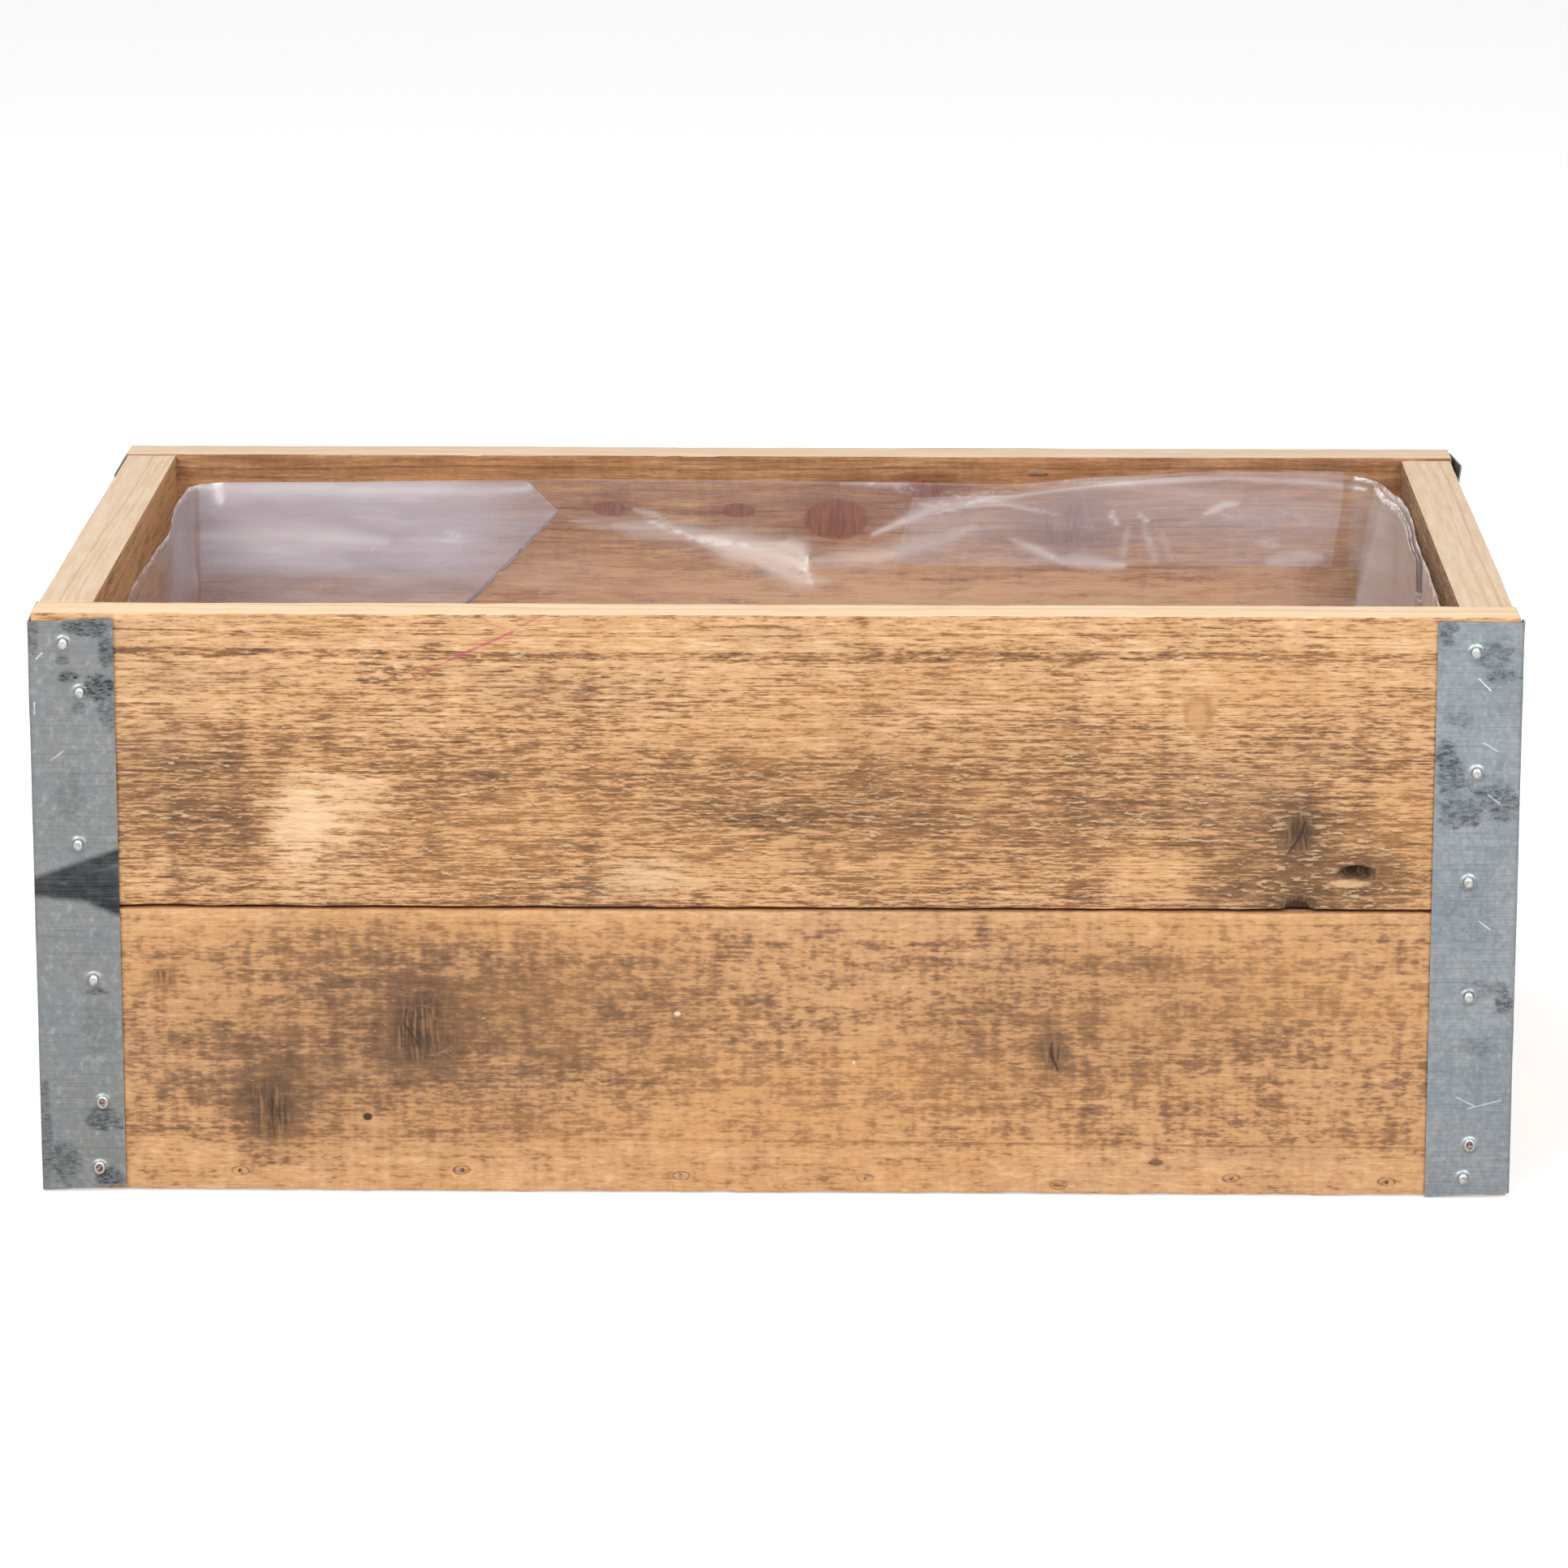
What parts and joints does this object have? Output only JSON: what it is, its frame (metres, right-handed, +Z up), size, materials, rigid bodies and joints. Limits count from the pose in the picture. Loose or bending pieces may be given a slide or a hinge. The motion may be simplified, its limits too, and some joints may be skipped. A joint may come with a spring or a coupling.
{
  "type": "wooden planter box",
  "caption": "Open rectangular planter box of reclaimed boards with nailed metal corner straps and a clear film liner.",
  "frame": {"origin": "on the ground, under the middle of the box", "axes": "+X along the long front wall, to the right as seen from the front; +Y from the front wall to the back wall; +Z up out of the open top"},
  "size_m": [0.509, 0.3038, 0.203],
  "materials": {
    "outer_wood": "weathered reclaimed softwood, rough sawn, with dark flecks, saw marks and freshly sawn pale edges",
    "bottom_wood": "rough sawn softwood, unfinished",
    "galvanised_sheet": "galvanised sheet, rubbed and scratched, semi-gloss",
    "nail_steel": "bright drawn wire with a little rust",
    "clear_film": "clear polyethylene film, glossy, milky where it lies double"
  },
  "bodies": {
    "root": {"front_board_lower": "outer_wood", "front_board_upper": "outer_wood", "back_board_lower": "outer_wood", "back_board_upper": "outer_wood", "left_end_board_lower": "outer_wood", "left_end_board_upper": "outer_wood", "right_end_board_lower": "outer_wood", "right_end_board_upper": "outer_wood", "bottom_board_1": "bottom_wood", "bottom_board_2": "bottom_wood", "bottom_board_3": "bottom_wood", "front_left_strap": "galvanised_sheet", "front_right_strap": "galvanised_sheet", "back_left_strap": "galvanised_sheet", "back_right_strap": "galvanised_sheet", "front_left_strap_nail_1": "nail_steel", "front_left_strap_nail_2": "nail_steel", "front_left_strap_nail_3": "nail_steel", "front_left_strap_nail_4": "nail_steel", "front_left_strap_nail_5": "nail_steel", "front_left_strap_nail_6": "nail_steel", "front_left_side_nail_1": "nail_steel", "front_left_side_nail_2": "nail_steel", "front_left_side_nail_3": "nail_steel", "front_left_side_nail_4": "nail_steel", "front_right_strap_nail_1": "nail_steel", "front_right_strap_nail_2": "nail_steel", "front_right_strap_nail_3": "nail_steel", "front_right_strap_nail_4": "nail_steel", "front_right_strap_nail_5": "nail_steel", "front_right_strap_nail_6": "nail_steel", "front_right_side_nail_1": "nail_steel", "front_right_side_nail_2": "nail_steel", "front_right_side_nail_3": "nail_steel", "front_right_side_nail_4": "nail_steel", "back_left_strap_nail_1": "nail_steel", "back_left_strap_nail_2": "nail_steel", "back_left_strap_nail_3": "nail_steel", "back_left_strap_nail_4": "nail_steel", "back_left_strap_nail_5": "nail_steel", "back_left_strap_nail_6": "nail_steel", "back_left_side_nail_1": "nail_steel", "back_left_side_nail_2": "nail_steel", "back_left_side_nail_3": "nail_steel", "back_left_side_nail_4": "nail_steel", "back_right_strap_nail_1": "nail_steel", "back_right_strap_nail_2": "nail_steel", "back_right_strap_nail_3": "nail_steel", "back_right_strap_nail_4": "nail_steel", "back_right_strap_nail_5": "nail_steel", "back_right_strap_nail_6": "nail_steel", "back_right_side_nail_1": "nail_steel", "back_right_side_nail_2": "nail_steel", "back_right_side_nail_3": "nail_steel", "back_right_side_nail_4": "nail_steel", "film_liner": "clear_film", "liner_staple_1": "nail_steel", "liner_staple_2": "nail_steel", "liner_staple_3": "nail_steel"}
  },
  "joints": []
}
